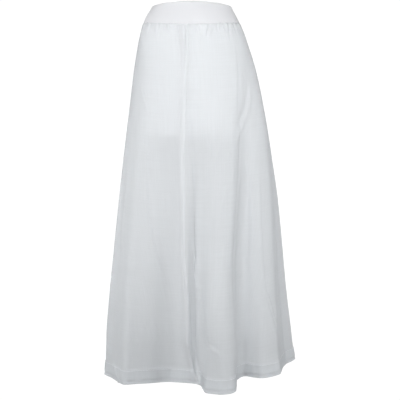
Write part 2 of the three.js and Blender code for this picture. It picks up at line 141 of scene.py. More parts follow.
# Creases and ridges, listed one by one: height outwards, half-widths on the wearer's right and left, and the
# line that each follows, as (angle, z) points.
CREASES = [
    # the pressed fold, round on its right and sharp on its left, and the hollow beside it
    (0.9, 16, 3.2, PRESSED_FOLD),
    (-3.0, 12, 18, [(1.8, -75), (1.8, -253), (-0.5, -333), (0, -390)]),
    # the border of the flat fall on the right, upright and then slanting to the middle
    (2.2, 16, 3.8, [(-44, -300), (-42.5, -345), (-37.4, -562), (-34, -600), (-32, -640), (-26.9, -696),
                    (-23, -740), (-17, -790)]),
    (-1.3, 3.8, 24, [(-41, -330), (-35, -562), (-31, -610), (-24, -700), (-17, -770)]),
    # right hip
    (2.0, 7, 4, [(-56, -205), (-53.8, -227), (-42.9, -281), (-40, -310)]),
    # the big flute's near edge and the pinch in it
    (2.6, 3.4, 10, [(-5, -600), (-2, -680), (3.4, -760), (5.2, -812), (9.5, -874), (14, -920)]),
    (4.6, 3.0, 4.5, [(5.0, -876), (9, -886), (14.5, -893), (19.2, -908), (22, -918)]),
    (-4.4, 3.6, 5, [(6.5, -868), (13, -880), (18.5, -893), (22.5, -905)]),
    # left of the big flute: the deep valley's sharp bottom and the ridge beside it
    (-3.0, 5, 3.4, [(47, -230), (41.5, -361), (39.5, -453), (38.4, -550), (38, -650), (38, -780),
                    (40, -850), (42, -930), (43, -1016)]),
    (2.6, 5, 9, [(50, -340), (49, -420), (51, -455), (52.5, -523), (54, -592), (53.4, -662), (54, -760)]),
    # slant from the left hip into the valley
    (3.2, 3.6, 8, [(60, -205), (57, -235), (52.5, -281), (46, -318), (39, -350), (34, -380)]),
    (-2.4, 8, 3.4, [(55, -215), (52, -247), (48.5, -281), (42, -315), (35, -345)]),
    # left side, where the darker fall begins, with two short breaks
    (2.4, 12, 3.6, [(62, -420), (62.7, -457), (63.3, -594), (65, -664), (67.7, -766), (71.5, -822),
                    (77, -876), (79, -948), (80, -1016)]),
    (2.8, 4, 3, [(69, -770), (72, -800), (77, -850), (82, -900)]),
    (-2.2, 3.5, 5, [(74, -800), (78, -840), (84, -910)]),
    (2.0, 5, 5, [(81, -800), (80.8, -852), (79.1, -898), (78, -930)]),
    # valley down the left of the lined part
    (-2.2, 3.4, 12, [(50, -95), (43.5, -201), (40.5, -253), (39, -320)]),
    # and the flank beyond it, which falls back to the left hip
    (-4.6, 20, 34, [(60, -90), (55, -201), (52.5, -255), (46.5, -307), (41, -360)]),
    # short slanting wrinkles in the middle
    (1.5, 3, 3, [(31.5, -370), (29.6, -395), (26.5, -421), (25.5, -436)]),
    (1.2, 3, 3, [(33.2, -432), (32.5, -455), (32.0, -475)]),
    (1.3, 3.4, 3.4, [(24, -360), (20, -395), (16.5, -440), (15, -480)]),
    (1.1, 3, 3, [(28, -480), (25, -510), (22, -545)]),
    (-1.0, 4, 4, [(12, -330), (14, -380), (13, -430)]),
    (1.1, 5, 5, [(20, -540), (18.5, -600), (19.5, -660), (18, -720)]),
    (1.0, 4, 4, [(27, -610), (25, -650), (24, -700)]),
    # the hollow left of the pressed fold is filled out all the way down, and pinched again at the hem
    (8.5, 10, 12, [(-2.2, -330), (-2.5, -652), (-2.2, -784), (-2, -1005)]),
    (-4.0, 4.5, 6, [(-2, -930), (-1, -1006)]),
    # the hollow between the flat fall and the pressed fold fills out near the hem
    (2.6, 30, 22, [(-23, -790), (-22, -1002)]),
    # near the hem
    (3.2, 5, 3.2, [(-76, -930), (-72.5, -956), (-64, -985), (-56.7, -1012)]),
    (1.0, 3.4, 3.4, [(-54, -893), (-50.4, -892), (-44, -899), (-36, -903), (-30, -906)]),
    (0.9, 3, 3, [(-46, -915), (-38, -921), (-30, -921)]),
    (0.9, 3.4, 3.4, [(-30, -860), (-24, -868), (-17, -866)]),
    # the back and sides, listed the same way
    (3.0, 12, 4, [(-160, -210), (-163, -400), (-161, -640), (-163, -900), (-161, -1016)]),
    (-2.4, 5, 8, [(-150, -330), (-149, -560), (-150, -800), (-149, -1016)]),
    (2.6, 4, 11, [(-130, -260), (-133, -470), (-131, -760), (-130, -1016)]),
    (2.2, 4, 8, [(-122, -220), (-128, -290), (-137, -350), (-143, -380)]),
    (2.4, 10, 4, [(-106, -340), (-108, -600), (-106, -880), (-107, -1016)]),
    (1.4, 3.4, 3.4, [(-150, -420), (-145, -455), (-142, -500)]),
    (1.6, 4, 4, [(-172, -520), (-169, -600), (-170, -700)]),
    (2.8, 4, 12, [(158, -230), (161, -430), (160, -700), (160, -1016)]),
    (-2.4, 8, 5, [(149, -300), (148, -560), (149, -830), (149, -1016)]),
    (2.8, 12, 4, [(130, -240), (128, -480), (129, -760), (128, -1016)]),
    (2.2, 8, 4, [(118, -215), (126, -290), (135, -350), (141, -390)]),
    (-2.2, 6, 6, [(118, -420), (119, -700), (119, -1016)]),
    (2.0, 4, 9, [(103, -380), (101, -620), (103, -1016)]),
    (1.4, 3.4, 3.4, [(171, -380), (166, -420), (164, -470)]),
    (1.5, 3.4, 3.4, [(140, -560), (136, -600), (134, -660)]),
    (2.2, 5, 4, [(-78, -360), (-76, -560), (-79, -800), (-80, -1000)]),
    (1.8, 5, 5, [(-64, -430), (-67, -600), (-63, -760)]),
]

LOOSE_WRINKLES = {"count": 230, "seed": 7, "height": 0.55}
# a crease runs on past its line's ends by this much, and fades over no less than this
CREASE_OVERRUN = 4
SHORTEST_FADE = 6
# a tuck's valley and the puffs beside it: shares of its depth, half-widths, and how far off the puffs lie
VALLEY_SHARE = 1.2
VALLEY_WIDTH = 2.4
PUFF_SHARE = 0.95
PUFF_WIDTH = 5.5
PUFF_PLACE = 7
# grooves that the seams draw: depth and half-width
OUTER_GROOVE = (0.8, 2.2)
LINING_GROOVE = (0.5, 2.0)
# the cloth is drawn in above the hem by this much all round, and by this much more at the front
HEM_DRAW = 1.2
HEM_DRAW_FRONT = 4.8
HEM_STEP = 1.6  # how far the hem's layers stand out at its stitched edge
# how deep a hollow can go where the lining holds the cloth out, and how much deeper lower down
HELD_DEPTH = 2.6
FREE_DEPTH = 4

COLUMNS_PER_LINE = 9
# rows of the outer skirt lie closer together under the waistband and along the hem
ROW_SHARES = np.concatenate([
    np.linspace(0, 0.034, 11, endpoint=False),
    np.linspace(0.034, 0.95, 140, endpoint=False),
    np.linspace(0.95, 1, 23),
])
LINING_COLUMNS = 241
LINING_ROWS = 64
BAND_COLUMNS = 361
# inset and rise of the panels' top edge where it goes up into the waist seam
HEAD = ((0.9, 1.7), (0.5, 0.7), (0.12, 0.15))


# ---- The form ---------------------------------------------------------------------------------------


def smoothstep(x, low, high):
    """0 below low, 1 above high, and a smooth S between them."""
    t = np.clip((x - low) / (high - low), 0, 1)
    return t * t * (3 - 2 * t)


def form_size(column, z):
    """One column of FORM at a height, by a cubic through the four nearest sections."""
    z = np.asarray(z, float)
    heights, sizes = FORM[:, 0], FORM[:, column]
    at = np.arange(len(FORM))
    low, high = np.maximum(at - 1, 0), np.minimum(at + 1, len(FORM) - 1)
    slopes = (sizes[high] - sizes[low]) / (heights[high] - heights[low])
    i = np.clip(np.searchsorted(-heights, -z, side="right") - 1, 0, len(FORM) - 2)
    span = heights[i + 1] - heights[i]
    t = (z - heights[i]) / span
    return (
        sizes[i] * (2 * t**3 - 3 * t**2 + 1)
        + slopes[i] * span * (t**3 - 2 * t**2 + t)
        + sizes[i + 1] * (3 * t**2 - 2 * t**3)
        + slopes[i + 1] * span * (t**3 - t**2)
    )


def section_point(angle, z, size):
    """x, y on a section whose half-widths and depths come from size(column, z)."""
    s, c = np.sin(np.radians(angle)), np.cos(np.radians(angle))
    width = np.where(s < 0, size(RIGHT, z), size(LEFT, z))
    depth = np.where(c > 0, size(FRONT, z), size(BACK, z))
    return np.stack([width * s, -depth * c], -1)


def lining_size(column, z):
    """The lining leaves the form below the waistband and becomes a plain tube."""
    under_skirt = form_size(column, z) - WALL - LINING_GAP
    straight = np.minimum(LINING_TUBE[column], under_skirt)
    return under_skirt + (straight - under_skirt) * smoothstep(-z, BAND_DROP_MIDDLE, TUBE_START)


def band_edge(angle):
    """Height of the waistband's lower edge, lowest at the middle of the front and back."""
    return -(BAND_DROP_SIDE + (BAND_DROP_MIDDLE - BAND_DROP_SIDE) * np.cos(np.radians(angle)) ** 2)


def band_top(angle):
    """Height of the waistband's upper edge, which rises at the front."""
    return BAND_RISE * np.maximum(np.cos(np.radians(angle)), 0) ** 2


def hip_angle(u):
    """The angle at a place along the generator lines, which may lie between two of them."""
    i = np.floor(u).astype(int)
    n = len(HIPS)
    here, there = (HIPS[k % n] + 360.0 * (k // n) for k in (i, i + 1))
    return here + (there - here) * (u - i)


def generator_point(i, z):
    """x, y of generator line number i at a height."""
    i = i % len(HIPS)
    angle, hem = HIPS[i], GENERATORS[i, 1:]
    plain = section_point(angle, z, form_size)
    hip = section_point(angle, np.full(np.shape(angle), HIP_Z), form_size)
    share = (SHIN_Z - HIP_Z) / (-SKIRT_LENGTH - HIP_Z)
    shin = hip + (hem - hip) * share
    for at, point in SHINS.items():
        shin = np.where((angle == at)[..., None], np.array(point, float), shin)
    down = (z - HIP_Z) / (-SKIRT_LENGTH - HIP_Z)
    d = down[..., None]
    upper = hip + (shin - hip) * d / share
    lower = shin + (hem - shin) * (d - share) / (1 - share)
    line = np.where(d < share, upper, lower)
    # the form bulges past the straight line from hip to hem, and every generator does with it
    here, at_hip, at_hem = (
        np.where(plain[..., 0] < 0, form_size(RIGHT, h), form_size(LEFT, h))
        for h in (z, HIP_Z, -SKIRT_LENGTH)
    )
    bulge = here / (at_hip + (at_hem - at_hip) * down)
    line = line * np.stack([bulge, np.ones_like(bulge)], -1)
    return plain + (line - plain) * smoothstep(-z, FLARE_START, FLARE_FULL)[..., None]


def skirt_form(u, z):
    """x, y, z of the outer skirt's plain surface, before its creases."""
    i = np.floor(u).astype(int)
    t = (u - i)[..., None]
    # a curve through the four nearest generators, its speed set by the gaps between them so it can't loop
    p = [generator_point(i + k, z) for k in (-1, 0, 1, 2)]
    gap = [np.maximum(((b - a) ** 2).sum(-1, keepdims=True) ** 0.25, 1e-4) for a, b in zip(p, p[1:])]
    leave = ((p[1] - p[0]) / gap[0] - (p[2] - p[0]) / (gap[0] + gap[1]) + (p[2] - p[1]) / gap[1]) * gap[1]
    arrive = ((p[2] - p[1]) / gap[1] - (p[3] - p[1]) / (gap[1] + gap[2]) + (p[3] - p[2]) / gap[2]) * gap[1]
    xy = (
        p[1] * (2 * t**3 - 3 * t**2 + 1)
        + leave * (t**3 - 2 * t**2 + t)
        + p[2] * (3 * t**2 - 2 * t**3)
        + arrive * (t**3 - t**2)
    )
    angle = hip_angle(u)
    for at, reach, height, tall, shift in SWAYS:
        xy[..., 0] += shift * np.exp(-(((angle - at) / reach) ** 2) - ((z - height) / tall) ** 2)
    return np.concatenate([xy, z[..., None]], -1)


def outward(points):
    """The level direction out of a ring of points, row by row. The ring's last column repeats its first."""
    ring = points[:, :-1]
    along = np.roll(ring, -1, axis=1) - np.roll(ring, 1, axis=1)
    normal = np.stack([along[..., 1], -along[..., 0], np.zeros(along.shape[:2])], -1)
    normal /= np.linalg.norm(normal, axis=-1, keepdims=True)
    return np.concatenate([normal, normal[:, :1]], 1)


def arc_lengths(points):
    """How far each point is round its row from the row's first."""
    steps = np.linalg.norm(np.diff(points[..., :2], axis=1), axis=-1)
    return np.concatenate([np.zeros((len(points), 1)), np.cumsum(steps, axis=1)], 1)


class Relief:
    """Heights in millimetres over a ring of cloth, added up crease by crease."""

    def __init__(self, points, angles):
        self.z = points[..., 2]
        self.angles = angles
        self.arcs = arc_lengths(points)
        self.heights = np.zeros(self.z.shape)

    def across(self, line_angles):
        """Signed distance of each point from a line, given as an angle for each point."""
        centre = np.array([
            np.interp(a, around, arc) for a, around, arc in zip(line_angles, self.angles, self.arcs)
        ])
        return self.arcs - centre

    def crease(self, height, right, left, line, fade=0.24):
        """Adds a ridge along a line, or a crease where height is negative; fade is the share of its length
        over which each end dies away."""
        line = sorted(line, key=lambda point: -point[1])
        zs = np.array([point[1] for point in line], float)
        at = np.array([point[0] for point in line], float)
        d = self.across(np.interp(-self.z, -zs, at))
        width = np.where(d < 0, right, left)
        top, low = zs[0], zs[-1]
        reach = fade * (top - low) + SHORTEST_FADE
        ends = smoothstep(-self.z, -top - CREASE_OVERRUN, -top + reach)
        # one that reaches the hem runs out over it
        if low > -SKIRT_LENGTH + 5:
            ends = ends * (1 - smoothstep(-self.z, -low - reach, -low + CREASE_OVERRUN))
        self.heights += height * ends * np.exp(-np.minimum((d / width) ** 2, 40))


def loose_wrinkles(relief):
    """Soft small wrinkles of handled cloth, mostly upright, strewn by a seeded draw."""
    draw = np.random.default_rng(LOOSE_WRINKLES["seed"])
    for _ in range(LOOSE_WRINKLES["count"]):
        z = draw.uniform(-SKIRT_LENGTH + 20, -120)
        angle = draw.uniform(-176, 176)
        length = draw.uniform(40, 150)
        slant = draw.normal(0, 5.0)
        width = draw.uniform(4, 12)
        height = LOOSE_WRINKLES["height"] * draw.uniform(0.4, 1.3) * draw.choice([-1, 1])
        bow = draw.normal(0, 1.2)
        low = max(z - length, -SKIRT_LENGTH)
        line = [(angle, z), (angle + slant / 2 + bow, (z + low) / 2), (angle + slant, low)]
        relief.crease(height, width, width, line, fade=0.5)


def tuck(relief, at, end, length, depth):
    """A sharp little valley below the seam with a soft puff on each side of it."""
    edge = band_edge(at)
    below = edge - relief.z
    d = relief.across(at + (end - at) * np.clip(below / length, 0, 1.2))
    fade = 1 - smoothstep(below, 0.25 * length, length)
    mouth = smoothstep(below, -1, 5)
    valley = -VALLEY_SHARE * depth * np.exp(-((d / VALLEY_WIDTH) ** 2))
    sides = [np.exp(-(((d + place) / PUFF_WIDTH) ** 2)) for place in (-PUFF_PLACE, PUFF_PLACE)]
    puffs = PUFF_SHARE * depth * (sides[0] + sides[1])
    relief.heights += (valley + puffs) * fade * mouth


def shape_hem(relief, angle):
    """Draws the cloth in towards the hem, most at the front, and stands the hem's layers proud of it."""
    below = HEM_DEPTH - SKIRT_LENGTH - relief.z
    facing_front = smoothstep(np.cos(np.radians(angle)), 0.45, 0.8)
    relief.heights -= (HEM_DRAW + HEM_DRAW_FRONT * facing_front) * smoothstep(below, -86, -4)
    relief.heights += HEM_STEP * smoothstep(below, -2.5, 2)
    # below the stitches the layers swell, dip, and roll out again at the fold
    swell = 0.8 * np.clip(below / 26, 0, 1)
    dip = 1.2 * smoothstep(below, 25, 31)
    roll = 0.8 * smoothstep(below, 31, 38)
    relief.heights += swell - dip + roll


def skirt_ring():
    """The outer face of the skirt as a ring of points, with the columns' angles and, for each point, how much
    cloth lies turned under behind it."""
    count = len(HIPS) * COLUMNS_PER_LINE
    u = np.linspace(0, len(HIPS), count + 1)
    angle = hip_angle(u)
    top = band_edge(angle)[None, :] - 0.3
    z = top + (-SKIRT_LENGTH - top) * ROW_SHARES[:, None]
    uu = np.broadcast_to(u, z.shape)
    points = skirt_form(uu, z)
    relief = Relief(points, np.broadcast_to(angle, z.shape))
    for height, right, left, line in CREASES:
        relief.crease(height, right, left, line)
    for at, end, length, depth in TUCKS:
        tuck(relief, at, end, length, depth)
    loose_wrinkles(relief)
    for seam in (0, RIGHT_SEAM, LEFT_SEAM, len(HIPS)):
        d = relief.across(np.full(z.shape, hip_angle(np.array([float(seam)]))[0]))
        relief.heights -= OUTER_GROOVE[0] * np.exp(-((d / OUTER_GROOVE[1]) ** 2))
    relief.crease(*FLUTE_SWELL, FLUTE_LINE, fade=0.5)
    shape_hem(relief, angle)
    # down to the hips the lining holds the cloth out
    lowest = -HELD_DEPTH - FREE_DEPTH * smoothstep(-z, 150, 260)
    relief.heights = np.maximum(relief.heights, lowest)
    # the cloth is caught flat where it enters the waistband
    relief.heights *= smoothstep(top - z, -2, 4) * 0.85 + 0.15
    points = points + outward(points) * relief.heights[..., None]
    # the cloth turned under at the pressed fold: full at its edge, thinning out to the wearer's right
    fold = np.array(PRESSED_FOLD)
    d = relief.across(np.interp(-z, -fold[:, 1], fold[:, 0]))
    folded = np.exp(-((d / np.where(d < 0, 8.0, 1.6)) ** 2))
    return points, angle, folded


def lining_ring():
    """The lining's outer face, with soft folds that grow towards its hem."""
    angle = np.linspace(-180, 180, LINING_COLUMNS)
    share = np.linspace(0, 1, LINING_ROWS)[:, None]
    top = band_edge(angle)[None, :] - 0.4
    z = top + (-LINING_LENGTH - top) * share
    around = np.broadcast_to(angle, z.shape)
    points = np.concatenate([section_point(around, z, lining_size), z[..., None]], -1)
    turn = np.radians(around)
    folds = 1.6 * np.cos(5 * turn + 0.6) + 1.1 * np.cos(8 * turn - 1.1) + 0.7 * np.cos(13 * turn + 2.0)
    heights = (folds - 2.2) * smoothstep(-z, 90, 400) - 1.7 * smoothstep(-z, 50, 66)
    relief = Relief(points, around)
    for seam in (-90, 90):
        d = relief.across(np.full(z.shape, seam))
        heights = heights - LINING_GROOVE[0] * np.exp(-((d / LINING_GROOVE[1]) ** 2))
    return points + outward(points) * heights[..., None], angle


def row_at(ring, z, values=None):
    """The ring's points at a height, between its rows, or other values that belong to those points."""
    values = ring if values is None else values
    heights = ring[..., 2]
    column = np.arange(ring.shape[1])
    j = np.clip((heights > z).sum(0) - 1, 0, len(ring) - 2)
    above, below = heights[j, column], heights[j + 1, column]
    w = ((above - z) / (above - below))[:, None]
    return values[j, column] * (1 - w) + values[j + 1, column] * w


# ---- Mesh making --------------------------------------------------------------------------------------


def link_mesh(name, mesh, material):
    """Puts a mesh in the scene as an object of one material, shaded smooth."""
    obj = bpy.data.objects.new(name, mesh)
    bpy.context.scene.collection.objects.link(obj)
    mesh.materials.clear()
    mesh.materials.append(material)
    mesh.shade_smooth()
    return obj


def grid_object(name, points, cloth_uv, material, wrap_rows=False):
    """A grid of points in millimetres, rows running down and columns round, as a mesh in metres."""
    rows, columns = points.shape[:2]
    index = np.arange(rows * columns).reshape(rows, columns)
    if wrap_rows:
        index = np.concatenate([index, index[:1]], 0)
    quads = np.stack([index[:-1, :-1], index[1:, :-1], index[1:, 1:], index[:-1, 1:]], -1).reshape(-1, 4)
    mesh = bpy.data.meshes.new(name)
    mesh.from_pydata((points.reshape(-1, 3) * MM).tolist(), [], quads.tolist())
    if wrap_rows:
        # the tube is closed at its two ends
        caps = bmesh.new()
        caps.from_mesh(mesh)
        caps.verts.ensure_lookup_table()
        caps.faces.new([caps.verts[i] for i in index[:-1, 0]])
        caps.faces.new([caps.verts[i] for i in index[:-1, -1][::-1]])
        caps.to_mesh(mesh)
        caps.free()
    layer = mesh.uv_layers.new(name="cloth")
    loops = np.empty(len(mesh.loops), int)
    mesh.loops.foreach_get("vertex_index", loops)
    layer.data.foreach_set("uv", cloth_uv.reshape(-1, 2)[loops].ravel())
    mesh.update()
    return link_mesh(name, mesh, material)


def give_thickness(obj, thickness):
    """Gives a sheet its thickness, inwards from its outer face."""
    wall = obj.modifiers.new("Cloth thickness", "SOLIDIFY")
    wall.thickness = thickness
    wall.offset = -1.0


def cloth_coordinates(points):
    """Metres across and down the cloth for each point of a panel, measured from its top middle."""
    arcs = arc_lengths(points)
    across = arcs - arcs[:, arcs.shape[1] // 2][:, None]
    steps = np.linalg.norm(np.diff(points, axis=0), axis=-1)
    down = np.concatenate([np.zeros((1, points.shape[1])), np.cumsum(steps, axis=0)], 0)
    return np.stack([across, -down], -1) * MM


def draw_in_edges(points, gap):
    """Moves a panel's two upright edges in by a gap in millimetres, one value or one for each row."""
    points = points.copy()
    for edge, inner in ((0, 1), (-1, -2)):
        way = points[:, inner] - points[:, edge]
        way /= np.linalg.norm(way, axis=-1, keepdims=True)
        points[:, edge] += way * np.reshape(gap, (-1, 1))
    return points


def set_in(ring, out, columns, places):
    """Rows of a panel made from a ring's columns, each at an inset from the ring and a height."""
    rows = []
    for inset, z in places:
        along = np.clip(z, ring[-1, 0, 2], ring[0, :, 2].min())
        line = row_at(ring, along) - row_at(ring, along, out) * inset
        line[:, 2] = z
        rows.append(line[columns])
    return rows


def hemmed_panel(name, ring, columns, bottom, hem, turn_in, material, thickness, turned_material=None):
    """A panel cut from a ring of cloth, its lower edge turned up inside, and that edge turned in again."""
    out = outward(ring)
    # the top edge runs up behind the waistband
    head = [ring[0] - out[0] * inset + np.array([0, 0, rise]) for inset, rise in HEAD]
    # inset and height of each row round the fold, up the inside, over, and down between the two layers
    fold = [(0.45, bottom - 0.35), (1.0, bottom + 0.1)]
    rise = [(1.25, bottom + hem * share) for share in np.linspace(0.06, 0.98, 8)]
    tucked = [(1.15, bottom + hem), (0.85, bottom + hem), (0.62, bottom + hem - 1)]
    tucked.append((0.62, bottom + hem - turn_in))
    hem_rows = set_in(ring, out, columns, fold + rise + tucked)
    points = np.concatenate([np.array(head)[:, columns], ring[:, columns], np.array(hem_rows)], 0)
    points = draw_in_edges(points, EDGE_GAP)
    panel = grid_object(name, points, cloth_coordinates(points), material)
    if turned_material:
        panel.data.materials.append(turned_material)
        face_rows = np.arange(len(panel.data.polygons)) // (len(columns) - 1)
        turned = face_rows >= len(HEAD) + len(ring)
        panel.data.polygons.foreach_set("material_index", turned.astype(int))
    give_thickness(panel, thickness)
    return panel


# ---- Stitches and coils by Geometry Nodes ---------------------------------------------------------------


def tree_input(tree, name, kind, default=None):
    """Adds a named input to a geometry node tree."""
    socket = tree.interface.new_socket(name=name, in_out="INPUT", socket_type=kind)
    if default is not None:
        socket.default_value = default


def node(tree, kind, inputs=None, **settings):
    """Adds a node, sets its properties, and sets or links its inputs by name or number."""
    made = tree.nodes.new(kind)
    for name, value in settings.items():
        setattr(made, name, value)
    for name, value in (inputs or {}).items():
        if isinstance(value, bpy.types.NodeSocket):
            tree.links.new(value, made.inputs[name])
        else:
            made.inputs[name].default_value = value
    return made


def stitch_tree():
    """Lays a rounded stitch at every pitch along a path."""
    tree = bpy.data.node_groups.new("Stitch row", "GeometryNodeTree")
    tree.interface.new_socket(name="Geometry", in_out="OUTPUT", socket_type="NodeSocketGeometry")
    tree_input(tree, "Path", "NodeSocketGeometry")
    tree_input(tree, "Pitch", "NodeSocketFloat", 0.003)
    tree_input(tree, "Stitch Length", "NodeSocketFloat", 0.0024)
    tree_input(tree, "Thread Thickness", "NodeSocketFloat", 0.0005)
    tree_input(tree, "Thread", "NodeSocketMaterial")
    given = node(tree, "NodeGroupInput").outputs
    curve = node(tree, "GeometryNodeMeshToCurve", {"Mesh": given["Path"]}).outputs[0]
    places = node(tree, "GeometryNodeResampleCurve", {
        "Curve": curve, "Length": given["Pitch"]}, mode="LENGTH").outputs[0]
    tangent = node(tree, "GeometryNodeInputTangent").outputs[0]
    turn = node(tree, "FunctionNodeAlignRotationToVector", {"Vector": tangent}, axis="X").outputs[0]
    bead = node(tree, "GeometryNodeMeshUVSphere", {"Segments": 6, "Rings": 4, "Radius": 0.5}).outputs[0]
    thick = given["Thread Thickness"]
    size = node(tree, "ShaderNodeCombineXYZ", {
        "X": given["Stitch Length"], "Y": thick, "Z": thick}).outputs[0]
    row = node(tree, "GeometryNodeInstanceOnPoints", {
        "Points": places, "Instance": bead, "Rotation": turn, "Scale": size}).outputs[0]
    solid = node(tree, "GeometryNodeRealizeInstances", {"Geometry": row}).outputs[0]
    smooth = node(tree, "GeometryNodeSetShadeSmooth", {"Geometry": solid}).outputs[0]
    finished = node(tree, "GeometryNodeSetMaterial", {
        "Geometry": smooth, "Material": given["Thread"]}).outputs[0]
    node(tree, "NodeGroupOutput", {"Geometry": finished})
    return tree


def coil_tree():
    """Sets the two rows of a closed nylon coil along a path."""
    tree = bpy.data.node_groups.new("Zip coil", "GeometryNodeTree")
    tree.interface.new_socket(name="Geometry", in_out="OUTPUT", socket_type="NodeSocketGeometry")
    tree_input(tree, "Path", "NodeSocketGeometry")
    tree_input(tree, "Pitch", "NodeSocketFloat", 0.0015)
    tree_input(tree, "Loop Radius", "NodeSocketFloat", 0.0009)
    tree_input(tree, "Filament Radius", "NodeSocketFloat", 0.00032)
    tree_input(tree, "Row Offset", "NodeSocketFloat", 0.0009)
    tree_input(tree, "Nylon", "NodeSocketMaterial")
    given = node(tree, "NodeGroupInput").outputs
    curve = node(tree, "GeometryNodeMeshToCurve", {"Mesh": given["Path"]}).outputs[0]
    places = node(tree, "GeometryNodeResampleCurve", {
        "Curve": curve, "Length": given["Pitch"]}, mode="LENGTH").outputs[0]
    hoop = node(tree, "GeometryNodeCurvePrimitiveCircle", {
        "Resolution": 10, "Radius": given["Loop Radius"]}).outputs[0]
    filament = node(tree, "GeometryNodeCurvePrimitiveCircle", {
        "Resolution": 5, "Radius": given["Filament Radius"]}).outputs[0]
    loop = node(tree, "GeometryNodeCurveToMesh", {"Curve": hoop, "Profile Curve": filament}).outputs[0]
    rows = []
    # the two rows lie half a pitch apart, so their turns interlock
    for side, rise in ((-1, 0.25), (1, -0.25)):
        across = node(tree, "ShaderNodeMath", {
            0: given["Row Offset"], 1: float(side)}, operation="MULTIPLY").outputs[0]
        up = node(tree, "ShaderNodeMath", {0: given["Pitch"], 1: rise}, operation="MULTIPLY").outputs[0]
        shift = node(tree, "ShaderNodeCombineXYZ", {"X": across, "Z": up}).outputs[0]
        moved = node(tree, "GeometryNodeSetPosition", {"Geometry": places, "Offset": shift}).outputs[0]
        rows.append(node(tree, "GeometryNodeInstanceOnPoints", {
            "Points": moved, "Instance": loop, "Rotation": (0.0, math.radians(12.0 * side), 0.0),
            "Scale": (1.25, 0.8, 1.0)}).outputs[0])
    joined = node(tree, "GeometryNodeJoinGeometry")
    for row in rows:
        tree.links.new(row, joined.inputs[0])
    solid = node(tree, "GeometryNodeRealizeInstances", {"Geometry": joined.outputs[0]}).outputs[0]
    smooth = node(tree, "GeometryNodeSetShadeSmooth", {"Geometry": solid}).outputs[0]
    finished = node(tree, "GeometryNodeSetMaterial", {
        "Geometry": smooth, "Material": given["Nylon"]}).outputs[0]
    node(tree, "NodeGroupOutput", {"Geometry": finished})
    return tree


def grown_along(name, path, tree, inputs, material):
    """Runs a node tree along a path of points in millimetres and keeps the result as a plain mesh."""
    mesh = bpy.data.meshes.new(name + "_path")
    mesh.from_pydata((np.asarray(path) * MM).tolist(), [(i, i + 1) for i in range(len(path) - 1)], [])
    seed = bpy.data.objects.new(name + "_path", mesh)
    bpy.context.scene.collection.objects.link(seed)
    grow = seed.modifiers.new("Grow", "NODES")
    grow.node_group = tree
    for item in tree.interface.items_tree:
        if item.item_type == "SOCKET" and item.in_out == "INPUT" and item.name in inputs:
            grow[item.identifier] = inputs[item.name]
    bpy.context.view_layer.update()
    evaluated = seed.evaluated_get(bpy.context.evaluated_depsgraph_get())
    plain = bpy.data.meshes.new_from_object(evaluated)
    plain.name = name
    seed.modifiers.remove(grow)
    bpy.data.objects.remove(seed)
    if not plain.polygons:
        raise RuntimeError(f"{name}: the node tree made nothing")
    return link_mesh(name, plain, material)


# ---- Materials ------------------------------------------------------------------------------------------

VOILE = "Cotton voile, plain woven, bleached"
DOUBLED = "Cotton voile, pressed double"
BAND = "Waistband voile over interfacing"
BATISTE = "Lining batiste, plain woven"
TAPE = "Polyester zip tape, warp-knitted"
THREAD = "Sewing thread, spun polyester"
NYLON = "Nylon coil, satin"
ENAMEL = "Enamel on zinc, stoved"

# Thread spacings in metres. Real voile has a thread every 0.35 mm and batiste one every 0.3 mm, and both are
# drawn coarser so that they show close up.
VOILE_SPACING = 0.0009
BATISTE_SPACING = 0.0007
TAPE_RIB = 0.0008
THREAD_TWIST = 0.00025
# what the folded cloth leaves of the gaps, where a second layer lies right behind the first
FOLDED_OPENNESS = 0.08
GAP_CHANGE = 0.012  # how much the share of gaps varies with the slubs
SLUB_HEIGHT = 0.5  # as a share of a thread's
# bump depths of the weave and of the crumples, in metres
VOILE_WEAVE = 0.000022
DENSE_WEAVE = 0.00006
VOILE_CRUMPLES = 0.0012
VOILE_GLOW = 0.38  # share of the voile's threads that let light through


def linear(hex_colour):
    """An sRGB hex colour as linear red, green, blue and alpha."""
    values = [int(hex_colour[i : i + 2], 16) / 255 for i in (0, 2, 4)]
    return tuple(v / 12.92 if v <= 0.04045 else ((v + 0.055) / 1.055) ** 2.4 for v in values) + (1.0,)


def new_material(name):
    """An empty node material and its tree."""
    material = bpy.data.materials.new(name)
    material.use_nodes = True
    material.node_tree.nodes.clear()
    return material, material.node_tree


def wave_scale(spacing):
    """The scale at which a wave texture, which repeats every pi / 10 at scale 1, repeats at a spacing."""
    return math.pi / 10 / spacing


def woven_height(tree, uv, thread_spacing):
    """Height of a plain weave from the cloth's own coordinates, with slubs in both sets of threads, and the
    slubs alone."""
    threads = []
    for way in ("X", "Y"):
        threads.append(node(tree, "ShaderNodeTexWave", {
            "Vector": uv, "Scale": wave_scale(thread_spacing), "Distortion": 0.6, "Detail": 1.0,
        }, bands_direction=way).outputs["Fac"])
    weave = node(tree, "ShaderNodeMath", {0: threads[0], 1: threads[1]}, operation="MAXIMUM").outputs[0]
    # a slub is about 2.4 mm across and a hand's breadth long
    slubs = []
    for stretch in ((420.0, 9.0, 1.0), (9.0, 420.0, 1.0)):
        placed = node(tree, "ShaderNodeMapping", {"Vector": uv, "Scale": stretch}).outputs[0]
        slubs.append(node(tree, "ShaderNodeTexNoise", {
            "Vector": placed, "Scale": 1.0, "Detail": 2.0}).outputs["Fac"])
    both = node(tree, "ShaderNodeMath", {0: slubs[0], 1: slubs[1]}, operation="ADD").outputs[0]
    height = node(tree, "ShaderNodeMath", {
        0: both, 1: SLUB_HEIGHT, 2: weave}, operation="MULTIPLY_ADD").outputs[0]
    return height, both


